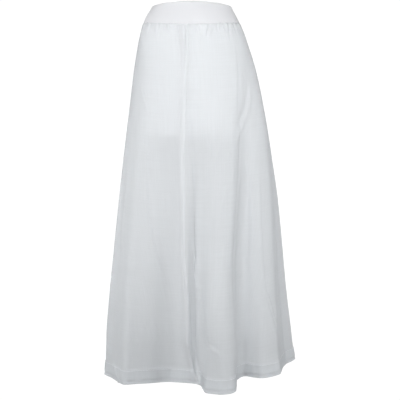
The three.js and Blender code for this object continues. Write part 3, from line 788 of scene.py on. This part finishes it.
def cloth_bump(tree, uv, height, weave_depth, crumple_depth):
    """Bump of the weave over the small crumples that the mesh is too coarse for."""
    placed = node(tree, "ShaderNodeMapping", {"Vector": uv, "Scale": (62.0, 30.0, 1.0)}).outputs[0]
    crumple = node(tree, "ShaderNodeTexNoise", {
        "Vector": placed, "Scale": 1.0, "Detail": 3.0, "Roughness": 0.5, "Distortion": 0.4}).outputs["Fac"]
    low = node(tree, "ShaderNodeBump", {
        "Strength": 1.0, "Distance": crumple_depth, "Height": crumple}).outputs[0]
    return node(tree, "ShaderNodeBump", {
        "Strength": 1.0, "Distance": weave_depth, "Height": height, "Normal": low}).outputs[0]


def sheer_voile(colour, openness):
    """Cotton voile: tightly spun threads with open gaps, so it is matte, glows when lit from behind,
    and lets what lies behind it show through faintly."""
    material, tree = new_material(VOILE)
    uv = node(tree, "ShaderNodeUVMap", uv_map="cloth").outputs[0]
    height, slubs = woven_height(tree, uv, VOILE_SPACING)
    normal = cloth_bump(tree, uv, height, VOILE_WEAVE, VOILE_CRUMPLES)
    shade = node(tree, "ShaderNodeMapRange", {
        "Value": slubs, "From Min": 0.7, "From Max": 1.3}).outputs[0]
    tint = node(tree, "ShaderNodeMix", {6: (*[c * 0.975 for c in colour[:3]], 1.0), 7: colour, 0: shade},
                data_type="RGBA").outputs[2]
    surface = node(tree, "ShaderNodeBsdfPrincipled", {
        "Base Color": tint, "Roughness": 0.85, "IOR": 1.45, "Specular IOR Level": 0.25,
        "Sheen Weight": 0.12, "Sheen Roughness": 0.5, "Normal": normal}).outputs[0]
    glow = node(tree, "ShaderNodeBsdfTranslucent", {"Color": tint, "Normal": normal}).outputs[0]
    cloth = node(tree, "ShaderNodeMixShader", {0: VOILE_GLOW, 1: surface, 2: glow}).outputs[0]
    # the gaps close up a little where a slub thickens the thread
    gaps = node(tree, "ShaderNodeMapRange", {
        "Value": slubs, "From Min": 0.6, "From Max": 1.4,
        "To Min": openness + GAP_CHANGE, "To Max": openness - GAP_CHANGE}).outputs[0]
    # little shows through where the cloth is folded over behind its face
    folded = node(tree, "ShaderNodeAttribute", attribute_name="folded").outputs["Fac"]
    seen_through = node(tree, "ShaderNodeMapRange", {
        "Value": folded, "To Min": gaps, "To Max": FOLDED_OPENNESS}).outputs[0]
    clear = node(tree, "ShaderNodeBsdfTransparent").outputs[0]
    mixed = node(tree, "ShaderNodeMixShader", {0: seen_through, 1: cloth, 2: clear}).outputs[0]
    node(tree, "ShaderNodeOutputMaterial", {"Surface": mixed})
    return material


def dense_cloth(name, colour, thread_spacing, glow_share, crumple_depth):
    """A closed white cotton cloth: matte, with a soft glow where light comes from behind."""
    material, tree = new_material(name)
    uv = node(tree, "ShaderNodeUVMap", uv_map="cloth").outputs[0]
    height, _ = woven_height(tree, uv, thread_spacing)
    normal = cloth_bump(tree, uv, height, DENSE_WEAVE, crumple_depth)
    surface = node(tree, "ShaderNodeBsdfPrincipled", {
        "Base Color": colour, "Roughness": 0.86, "IOR": 1.45, "Specular IOR Level": 0.25,
        "Sheen Weight": 0.15, "Sheen Roughness": 0.45, "Normal": normal}).outputs[0]
    glow = node(tree, "ShaderNodeBsdfTranslucent", {"Color": colour, "Normal": normal}).outputs[0]
    mixed = node(tree, "ShaderNodeMixShader", {0: glow_share, 1: surface, 2: glow}).outputs[0]
    node(tree, "ShaderNodeOutputMaterial", {"Surface": mixed})
    return material


def knitted_tape(colour):
    """Warp-knitted polyester tape: fine upright ribs and a faint sheen."""
    material, tree = new_material(TAPE)
    place = node(tree, "ShaderNodeTexCoord").outputs["Object"]
    ribs = node(tree, "ShaderNodeTexWave", {
        "Vector": place, "Scale": wave_scale(TAPE_RIB), "Distortion": 0.3,
    }, bands_direction="X").outputs["Fac"]
    normal = node(tree, "ShaderNodeBump", {"Strength": 0.8, "Distance": 0.0001, "Height": ribs}).outputs[0]
    surface = node(tree, "ShaderNodeBsdfPrincipled", {
        "Base Color": colour, "Roughness": 0.7, "IOR": 1.5, "Sheen Weight": 0.2,
        "Normal": normal}).outputs[0]
    node(tree, "ShaderNodeOutputMaterial", {"Surface": surface})
    return material


def twisted_thread(colour):
    """Spun polyester sewing thread: matte, with its twist as fine slanting ridges."""
    material, tree = new_material(THREAD)
    place = node(tree, "ShaderNodeTexCoord").outputs["Object"]
    twist = node(tree, "ShaderNodeTexWave", {
        "Vector": place, "Scale": wave_scale(THREAD_TWIST)}, bands_direction="DIAGONAL").outputs["Fac"]
    normal = node(tree, "ShaderNodeBump", {
        "Strength": 0.6, "Distance": 0.00005, "Height": twist}).outputs[0]
    surface = node(tree, "ShaderNodeBsdfPrincipled", {
        "Base Color": colour, "Roughness": 0.65, "IOR": 1.5, "Sheen Weight": 0.1,
        "Normal": normal}).outputs[0]
    node(tree, "ShaderNodeOutputMaterial", {"Surface": surface})
    return material


def hard_white(name, colour, roughness, coat, mottle_scale):
    """A smooth white hard surface whose gloss is faintly uneven, as moulded or stoved ones are."""
    material, tree = new_material(name)
    place = node(tree, "ShaderNodeTexCoord").outputs["Object"]
    mottle = node(tree, "ShaderNodeTexNoise", {
        "Vector": place, "Scale": mottle_scale, "Detail": 2.0}).outputs["Fac"]
    gloss = node(tree, "ShaderNodeMapRange", {
        "Value": mottle, "To Min": roughness * 0.8, "To Max": roughness * 1.2}).outputs[0]
    normal = node(tree, "ShaderNodeBump", {
        "Strength": 0.3, "Distance": 0.00004, "Height": mottle}).outputs[0]
    surface = node(tree, "ShaderNodeBsdfPrincipled", {
        "Base Color": colour, "Roughness": gloss, "IOR": 1.5, "Coat Weight": coat, "Coat Roughness": 0.1,
        "Normal": normal}).outputs[0]
    node(tree, "ShaderNodeOutputMaterial", {"Surface": surface})
    return material


def material_of(name):
    """The skirt's materials, each made once from the colours in the panel."""
    wanted = bpy.data.materials.get(name)
    if wanted:
        return wanted
    look = bpy.context.scene.skirt_look
    # for a dense cloth: thread spacing, share of light let through, depth of its crumples
    # for a hard white one: roughness, gloss of its top coat, fineness of its mottling
    makers = {
        VOILE: lambda: sheer_voile(tuple(look.voile), look.openness),
        DOUBLED: lambda: dense_cloth(DOUBLED, tuple(look.doubled), VOILE_SPACING, 0.2, 0.0006),
        BAND: lambda: dense_cloth(BAND, tuple(look.band), VOILE_SPACING, 0.06, 0.0004),
        BATISTE: lambda: dense_cloth(BATISTE, tuple(look.lining), BATISTE_SPACING, 0.18, 0.0006),
        TAPE: lambda: knitted_tape(tuple(look.band)),
        THREAD: lambda: twisted_thread(tuple(look.thread)),
        NYLON: lambda: hard_white(NYLON, tuple(look.nylon), 0.42, 0.0, 900.0),
        ENAMEL: lambda: hard_white(ENAMEL, tuple(look.enamel), 0.24, 0.4, 500.0),
    }
    return makers[name]()


# ---- Settings -------------------------------------------------------------------------------------------


def size_setting(name, description, millimetres):
    """A length in the panel, given here in millimetres and kept in metres."""
    return bpy.props.FloatProperty(
        name=name, description=description, default=millimetres * MM, min=0.0, precision=5, unit="LENGTH")


def colour_setting(name, description, hex_colour):
    """A colour in the panel, given here as an sRGB hex value."""
    return bpy.props.FloatVectorProperty(
        name=name, description=description, default=linear(hex_colour), size=4, min=0.0, max=1.0,
        subtype="COLOR")


class SkirtCut(bpy.types.PropertyGroup):
    """Sizes of the skirt's cloth and sewing."""

    voile_thickness: size_setting("Voile thickness", "Thickness of the outer cloth", 0.3)
    lining_thickness: size_setting("Lining thickness", "Thickness of the lining cloth", 0.4)
    band_thickness: size_setting("Waistband thickness", "Thickness of the waistband's layers together", 2.0)
    turn_in: size_setting("Turn-in", "How far the hem's raw edge is turned in again", 7.0)
    allowance: size_setting("Seam allowance", "Width of the pressed seam inside, both sides together", 16.0)
    underlay: size_setting("Underlay", "Width of cloth turned under at the pressed fold", 9.0)
    stitch_pitch: size_setting("Stitch pitch", "From one stitch to the next", 3.0)
    stitch_length: size_setting("Stitch length", "Length of thread that shows for a stitch", 2.4)
    thread_thickness: size_setting("Thread thickness", "Thickness of the sewing thread", 0.45)
    coil_pitch: size_setting("Coil pitch", "From one turn of the zip's coil to the next", 1.5)


class SkirtLook(bpy.types.PropertyGroup):
    """Colours and sheerness of the skirt."""

    voile: colour_setting("Voile", "Colour of the outer cloth", "eff1f3")
    doubled: colour_setting("Doubled voile", "Colour of the outer cloth where it lies double", "eceff1")
    band: colour_setting("Waistband", "Colour of the waistband and tapes", "d4d5d8")
    lining: colour_setting("Lining", "Colour of the lining", "f5f6f7")
    thread: colour_setting("Thread", "Colour of the sewing thread", "eff2f4")
    nylon: colour_setting("Nylon", "Colour of the zip's coil", "f3f4f2")
    enamel: colour_setting("Enamel", "Colour of the zip's slider and pull", "f6f6f4")
    openness: bpy.props.FloatProperty(
        name="Openness", description="Share of the voile's face that is open gaps", default=0.42, min=0.0,
        max=0.85, subtype="FACTOR")


# ---- The pieces, one operator each ----------------------------------------------------------------------

PANELS = [
    ("back_right", 0, RIGHT_SEAM),
    ("front", RIGHT_SEAM, LEFT_SEAM),
    ("back_left", LEFT_SEAM, len(HIPS)),
]
FITTED_PANELS = [("back_right", -180, -90), ("front", -90, 90), ("back_left", 90, 180)]

# the seams inside the skirt: name, angle, where the pressed allowance begins, and the panel that it lies on
SEAMS = (
    ("right", -90, -52, "voile_front"),
    ("left", 90, -52, "voile_front"),
    ("back", -180, -206, "voile_back_right"),
)
# how far inside the outer face the seam allowances lie, and the two layers of the cloth turned under
SEAM_INSET = 1.0
TURNED_INSETS = (0.9, 1.7)
TURNED_EDGE = 0.6  # the turned cloth stops this short of the pressed fold

# the zip: from the lining inwards
TAPE_GAP = 0.4
TAPE_THICKNESS = 0.8
COIL_GAP = 0.3
COIL_HALF_DEPTH = 0.8
COIL_TOP = -24
COIL_FOOT = -198
COIL_POINTS = 60
# the zip's enamelled pieces: the frame's node, its body, and how far its edges are rounded off
ENAMELLED = (("zip_slider", BODY, 0.7), ("zip_bridge", BODY, 0.3), ("zip_pull", PULL, 0.28))
FLAT_ANGLE = math.radians(3)
SHARP_ANGLE = math.radians(40)

# the waistband: how far the gathers pucker its lower edge, and how far the fold at its top and the sewn edge
# at its foot stand out between its two walls
PUCKER = 0.28
CROWN_RISE = 0.35
FOOT_DROP = 0.1
SHOULDER_DROP = 0.25  # how far its walls stop short of the fold, so that the fold is round
SLIT_WIDTH = 1.1  # how far each back edge is drawn back beside the zip's slider

# the rows of stitches stand off the cloth by this, and lie this far below the upper edge of each hem
STITCH_PROUD = 0.06
OUTER_STITCH_DROP = 2.5
LINING_STITCH_DROP = 2.0


def on_skirt(obj, slot, *nodes, body=BODY):
    """Puts a finished piece on its body and hides the frame's nodes that it stands for. The slot argument is
    not used.
    """
    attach(obj, body)
    if nodes:
        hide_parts(*nodes)


def columns_between(angle, low, high):
    """The columns whose angle lies between two angles, ends included."""
    return np.flatnonzero((angle >= low - 1e-6) & (angle <= high + 1e-6))


class SKIRT_OT_outer_skirt(bpy.types.Operator):
    """Make the three gathered, flared panels of voile with their hems turned up"""

    bl_idname = "skirt.outer_skirt"
    bl_label = "Outer skirt"

    def execute(self, context):
        cut = context.scene.skirt_cut
        ring, _, folded = skirt_ring()
        for name, start, end in PANELS:
            columns = np.arange(start * COLUMNS_PER_LINE, end * COLUMNS_PER_LINE + 1)
            panel = hemmed_panel(
                f"voile_{name}", ring, columns, -SKIRT_LENGTH, HEM_DEPTH, cut.turn_in / MM,
                material_of(VOILE), cut.voile_thickness, material_of(DOUBLED))
            mark_folded(panel, folded[:, columns])
            on_skirt(panel, "voile", f"skirt_{name}", f"hem_{name}")
        return {"FINISHED"}


def mark_folded(panel, folded):
    """Writes how much folded cloth lies behind each point of a panel, for its material to read."""
    values = np.zeros((len(panel.data.vertices) // folded.shape[1], folded.shape[1]))
    values[len(HEAD) : len(HEAD) + len(folded)] = folded
    layer = panel.data.attributes.new("folded", "FLOAT", "POINT")
    layer.data.foreach_set("value", values.ravel())


def strip_inside(name, ring, angle, line, layers, highest):
    """A narrow strip of cloth inside the skirt, along a line of (angle, z) points. Each layer is its places
    across the strip and its inset. It runs from a height down to the top of the hem."""
    out = outward(ring)
    arcs = arc_lengths(ring)
    lowest = HEM_DEPTH + 3 - SKIRT_LENGTH
    zs = np.array([z for _, z in line], float)
    at = np.array([a for a, _ in line], float)
    rows = []
    for j in np.flatnonzero((ring[:, 0, 2] < highest) & (ring[:, 0, 2] > lowest)):
        centre = np.interp(np.interp(-ring[j, 0, 2], -zs, at), angle, arcs[j])
        points = []
        for places, inset in layers:
            inside = ring[j] - out[j] * inset
            around = np.mod(centre + np.asarray(places), arcs[j, -1])
            points.append(np.stack([np.interp(around, arcs[j], inside[:, axis]) for axis in range(3)], -1))
        rows.append(np.concatenate(points))
    rows = np.array(rows)
    thickness = bpy.context.scene.skirt_cut.voile_thickness
    strip = grid_object(name, rows, cloth_coordinates(rows), material_of(DOUBLED))
    give_thickness(strip, thickness)
    on_skirt(strip, "voile")


class SKIRT_OT_seams(bpy.types.Operator):
    """Make the pressed seam allowances inside the seams and the cloth turned under at the pressed fold"""

    bl_idname = "skirt.seams"
    bl_label = "Seam allowances"

    def execute(self, context):
        cut = context.scene.skirt_cut
        ring, angle, _ = skirt_ring()
        flat = [(np.linspace(-0.5, 0.5, 7) * cut.allowance / MM, SEAM_INSET)]
        for name, seam, highest, behind in SEAMS:
            line = [(seam, -50), (seam, -SKIRT_LENGTH)]
            strip_inside(f"seam_{name}", ring, angle, line, flat, highest)
        under = cut.underlay / MM
        turned = [
            (np.linspace(-under, -TURNED_EDGE, 5), TURNED_INSETS[0]),
            (np.linspace(-TURNED_EDGE, -under, 5), TURNED_INSETS[1]),
        ]
        strip_inside("fold_front", ring, angle, PRESSED_FOLD, turned, -60)
        return {"FINISHED"}


class SKIRT_OT_lining(bpy.types.Operator):
    """Make the short straight lining with its narrow hem"""

    bl_idname = "skirt.lining"
    bl_label = "Lining"

    def execute(self, context):
        cut = context.scene.skirt_cut
        ring, angle = lining_ring()
        for name, low, high in FITTED_PANELS:
            panel = hemmed_panel(
                f"batiste_{name}", ring, columns_between(angle, low, high), -LINING_LENGTH, LINING_HEM,
                LINING_HEM - 3, material_of(BATISTE), cut.lining_thickness)
            on_skirt(panel, "lining_batiste", f"lining_{name}")
        return {"FINISHED"}


def slit(z):
    """How far the centre back edges are drawn apart: wide at the slider, closed below it."""
    return EDGE_GAP + SLIT_WIDTH * smoothstep(z, -26, -15)


class SKIRT_OT_waistband(bpy.types.Operator):
    """Make the shaped waistband, folded over at its top edge"""

    bl_idname = "skirt.waistband"
    bl_label = "Waistband"

    def execute(self, context):
        thickness = context.scene.skirt_cut.band_thickness / MM
        angle = np.linspace(-180, 180, BAND_COLUMNS)
        top = band_top(angle)
        edge = band_edge(angle)
        share = np.concatenate([[0, 0.012], np.linspace(0.05, 0.95, 14), [0.985, 1]])[:, None]
        z = top + (edge - top) * share
        around = np.broadcast_to(angle, z.shape)
        face = np.concatenate([section_point(around, z, form_size), z[..., None]], -1)
        turn = np.radians(around)
        # the gathers pucker its lower edge, and its face is slack in long low waves
        pucker = (np.sin(29 * turn) + 0.7 * np.sin(47 * turn + 1.0)) * np.exp(-(z - edge) / 9)
        slack = 0.35 * np.sin(3 * turn + 0.5) * np.sin(np.pi * share) + 0.25 * np.sin(7 * turn)
        normal = outward(face)
        outer = face + normal * (PUCKER * pucker + slack * np.sin(np.pi * share))[..., None]
        inner = face[::-1] - normal[::-1] * thickness
        # round the folded top edge and the sewn lower edge
        crown = (face[:1] - normal[:1] * thickness / 2) + np.array([0, 0, CROWN_RISE])
        foot = (face[-1:] - normal[-1:] * thickness / 2) - np.array([0, 0, FOOT_DROP])
        for wall in (outer[:1], inner[-1:]):
            wall[..., 2] -= SHOULDER_DROP
        loop = np.concatenate([outer, foot, inner, crown], 0)
        for name, low, high in FITTED_PANELS:
            whole = loop[:, columns_between(angle, low, high)]
            points = draw_in_edges(whole, slit(whole[:, 0, 2]) if "back" in name else EDGE_GAP)
            # the back pieces are drawn apart only at the zip, and keep their edge at the side seam
            if name == "back_right":
                points[:, -1] = whole[:, -1]
            if name == "back_left":
                points[:, 0] = whole[:, 0]
            band = grid_object(
                f"band_{name}", points, cloth_coordinates(points), material_of(BAND), wrap_rows=True)
            on_skirt(band, "waistband_cloth", f"waistband_{name}")
        return {"FINISHED"}


def coil_line():
    """Points down the middle of the zip's coil at the centre back."""
    z = np.linspace(COIL_TOP, COIL_FOOT, COIL_POINTS)
    inset = TAPE_GAP + TAPE_THICKNESS + COIL_GAP + COIL_HALF_DEPTH
    y = lining_size(BACK, z) - LINING_WALL - inset
    return np.stack([np.zeros(COIL_POINTS), y, z], -1)


class SKIRT_OT_zip(bpy.types.Operator):
    """Make the concealed zip's coil, slider, bridge and pull"""

    bl_idname = "skirt.zip"
    bl_label = "Concealed zip"

    def execute(self, context):
        for name in ("zip_tape_left", "zip_tape_right"):
            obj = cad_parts[name]
            obj.data.materials.clear()
            obj.data.materials.append(material_of(TAPE))
        pitch = context.scene.skirt_cut.coil_pitch
        nylon = material_of(NYLON)
        coil = grown_along("zip_coil", coil_line(), coil_tree(), {"Pitch": pitch, "Nylon": nylon}, nylon)
        on_skirt(coil, "zip_nylon", "zip_chain")
        for name, body, round_off in ENAMELLED:
            part = smooth_copy(name, "fine_" + name, round_off, material_of(ENAMEL))
            on_skirt(part, "zip_enamel", name, body=body)
        return {"FINISHED"}


def smooth_copy(node_name, name, round_off, material):
    """A copy of a frame node with its doubles merged and its edges rounded."""
    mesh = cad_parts[node_name].data.copy()
    mesh.name = name
    work = bmesh.new()
    work.from_mesh(mesh)
    bmesh.ops.remove_doubles(work, verts=work.verts, dist=1e-6)
    bmesh.ops.dissolve_limit(work, angle_limit=FLAT_ANGLE, verts=work.verts, edges=work.edges)
    sharp = [e for e in work.edges if len(e.link_faces) == 2 and e.calc_face_angle() > SHARP_ANGLE]
    bmesh.ops.bevel(
        work, geom=sharp, offset=round_off * MM, segments=3, profile=0.5, affect="EDGES", clamp_overlap=True)
    bmesh.ops.triangulate(work, faces=work.faces)
    work.to_mesh(mesh)
    work.free()
    return link_mesh(name, mesh, material)


class SKIRT_OT_stitches(bpy.types.Operator):
    """Sew the hems with rows of stitches"""

    bl_idname = "skirt.stitches"
    bl_label = "Stitches"

    def execute(self, context):
        cut = context.scene.skirt_cut
        tree = stitch_tree()
        ring, _, _ = skirt_ring()
        lining, _ = lining_ring()
        rows = [
            ("stitches_hem", ring, HEM_DEPTH - OUTER_STITCH_DROP - SKIRT_LENGTH),
            ("stitches_lining_hem", lining, LINING_HEM - LINING_STITCH_DROP - LINING_LENGTH),
        ]
        thread = material_of(THREAD)
        for name, cloth, z in rows:
            line = row_at(cloth, z) + row_at(cloth, z, outward(cloth)) * STITCH_PROUD
            row = grown_along(name, line, tree, {
                "Pitch": cut.stitch_pitch, "Stitch Length": cut.stitch_length,
                "Thread Thickness": cut.thread_thickness, "Thread": thread}, thread)
            on_skirt(row, "voile")
        return {"FINISHED"}


# strength of the light that the room gives from below and from its walls and ceiling
FLOOR_LIGHT = 0.12
ROOM_LIGHT = 0.335
BLANK_WHITE = 1.05  # strength of the plain white that is seen past the cloth
FLOOR_RADIUS = 14.0
FLOOR_DROP = 70  # the floor's distance below the hem, in millimetres
# light and sight pass through many layers of sheer cloth
CLOTH_LAYERS = 32
# lamps: name, place, what it points at, size in metres, spread in degrees, power in watts
LAMPS = (
    ("key", (-0.6, -3.2, 0.5), (0, 0, 0.0), 1.5, 62, 13.2),
    ("left", (-2.1, -0.8, -0.3), (0, 0, -0.5), 1.0, 110, 6.0),
    ("right", (2.1, -0.9, -0.2), (0, 0, -0.45), 1.0, 110, 9.2),
    ("rear", (0.7, 3.2, 0.6), (0, 0, -0.4), 1.6, 70, 4.2),
)
CAMERA_PLACE = (0.0224, -2.5, -0.26)
CAMERA_PITCH = 6.26  # degrees below level
CAMERA_LENS = 80.4
CAMERA_SENSOR = 36.0


def seen_directly(tree):
    """1 where the room is seen past the cloth, 0 where it is seen through the cloth or only lights it."""
    path = node(tree, "ShaderNodeLightPath")
    bare = node(tree, "ShaderNodeMath", {
        0: path.outputs["Transparent Depth"], 1: 0.5}, operation="LESS_THAN").outputs[0]
    return node(tree, "ShaderNodeMath", {
        0: path.outputs["Is Camera Ray"], 1: bare}, operation="MULTIPLY").outputs[0]


def lay_floor():
    """A pale matte floor that looks plain white where it is seen past the cloth."""
    mesh = bpy.data.meshes.new("floor")
    disc = bmesh.new()
    bmesh.ops.create_circle(disc, cap_ends=True, segments=96, radius=FLOOR_RADIUS)
    bmesh.ops.translate(disc, verts=disc.verts, vec=(0, 0, -(SKIRT_LENGTH + FLOOR_DROP) * MM))
    disc.to_mesh(mesh)
    disc.free()
    paper, tree = new_material("Studio paper, matte white")
    blank = node(tree, "ShaderNodeEmission", {"Color": (1, 1, 1, 1), "Strength": BLANK_WHITE}).outputs[0]
    surface = node(tree, "ShaderNodeBsdfPrincipled", {
        "Base Color": linear("c8ccd0"), "Roughness": 0.9}).outputs[0]
    seen = node(tree, "ShaderNodeMixShader", {0: seen_directly(tree), 1: surface, 2: blank}).outputs[0]
    node(tree, "ShaderNodeOutputMaterial", {"Surface": seen})
    floor = link_mesh("floor", mesh, paper)
    # it throws no light up at the cloth, and the room's light from below stands in for that
    floor.visible_diffuse = False


def light_room(scene):
    """A room that gives less light from below than from its walls and ceiling, and looks plain white."""
    world = bpy.data.worlds.new("Studio")
    scene.world = world
    world.use_nodes = True
    tree = world.node_tree
    tree.nodes.clear()
    way = node(tree, "ShaderNodeTexCoord").outputs["Generated"]
    height = node(tree, "ShaderNodeSeparateXYZ", {"Vector": way}).outputs["Z"]
    light = node(tree, "ShaderNodeMapRange", {
        "Value": height, "From Min": -0.25, "From Max": 0.15,
        "To Min": FLOOR_LIGHT, "To Max": ROOM_LIGHT}).outputs[0]
    room = node(tree, "ShaderNodeBackground", {"Color": (1, 1, 1, 1), "Strength": light}).outputs[0]
    blank = node(tree, "ShaderNodeBackground", {"Color": (1, 1, 1, 1), "Strength": BLANK_WHITE}).outputs[0]
    seen = node(tree, "ShaderNodeMixShader", {0: seen_directly(tree), 1: room, 2: blank}).outputs[0]
    node(tree, "ShaderNodeOutputWorld", {"Surface": seen})


class SKIRT_OT_stage(bpy.types.Operator):
    """Set the pale floor, the soft light and the camera"""

    bl_idname = "skirt.stage"
    bl_label = "Stage"

    def execute(self, context):
        scene = context.scene
        scene.view_settings.view_transform = "Standard"
        scene.cycles.transparent_max_bounces = CLOTH_LAYERS
        lay_floor()
        light_room(scene)
        for name, place, target, size, spread, power in LAMPS:
            data = bpy.data.lights.new(name, "AREA")
            data.shape = "DISK"
            data.size = size
            data.energy = power
            data.spread = math.radians(spread)
            lamp = bpy.data.objects.new(name, data)
            scene.collection.objects.link(lamp)
            lamp.location = place
            lamp.rotation_euler = aim(place, target)

        data = bpy.data.cameras.new("camera")
        data.lens = CAMERA_LENS
        data.sensor_width = CAMERA_SENSOR
        camera = bpy.data.objects.new("camera", data)
        scene.collection.objects.link(camera)
        camera.location = CAMERA_PLACE
        camera.rotation_euler = (math.radians(90 - CAMERA_PITCH), 0, 0)
        scene.camera = camera
        return {"FINISHED"}


def aim(place, target):
    """Euler angles that point a lamp's -Z from a place to a target."""
    return (Vector(target) - Vector(place)).to_track_quat("-Z", "Y").to_euler()


class SKIRT_PT_panel(bpy.types.Panel):
    """The skirt's pieces and settings in the sidebar"""

    bl_idname = "SKIRT_PT_panel"
    bl_label = "Long sheer skirt"
    bl_space_type = "VIEW_3D"
    bl_region_type = "UI"
    bl_category = "Skirt"

    def draw(self, context):
        for group in (context.scene.skirt_cut, context.scene.skirt_look):
            box = self.layout.box()
            for name in group.__annotations__:
                box.prop(group, name)
        for step in STEPS:
            self.layout.operator(step.bl_idname)


STEPS = (
    SKIRT_OT_outer_skirt,
    SKIRT_OT_seams,
    SKIRT_OT_lining,
    SKIRT_OT_waistband,
    SKIRT_OT_zip,
    SKIRT_OT_stitches,
    SKIRT_OT_stage,
)
CLASSES = (SkirtCut, SkirtLook, *STEPS, SKIRT_PT_panel)


def register():
    for cls in CLASSES:
        bpy.utils.register_class(cls)
    bpy.types.Scene.skirt_cut = bpy.props.PointerProperty(type=SkirtCut)
    bpy.types.Scene.skirt_look = bpy.props.PointerProperty(type=SkirtLook)


def unregister():
    del bpy.types.Scene.skirt_look
    del bpy.types.Scene.skirt_cut
    for cls in reversed(CLASSES):
        bpy.utils.unregister_class(cls)


def main():
    """Makes the whole skirt and its stage."""
    register()
    bpy.ops.skirt.outer_skirt()
    bpy.ops.skirt.seams()
    bpy.ops.skirt.lining()
    bpy.ops.skirt.waistband()
    bpy.ops.skirt.zip()
    bpy.ops.skirt.stitches()
    bpy.ops.skirt.stage()


if __name__ == "__main__":
    main()
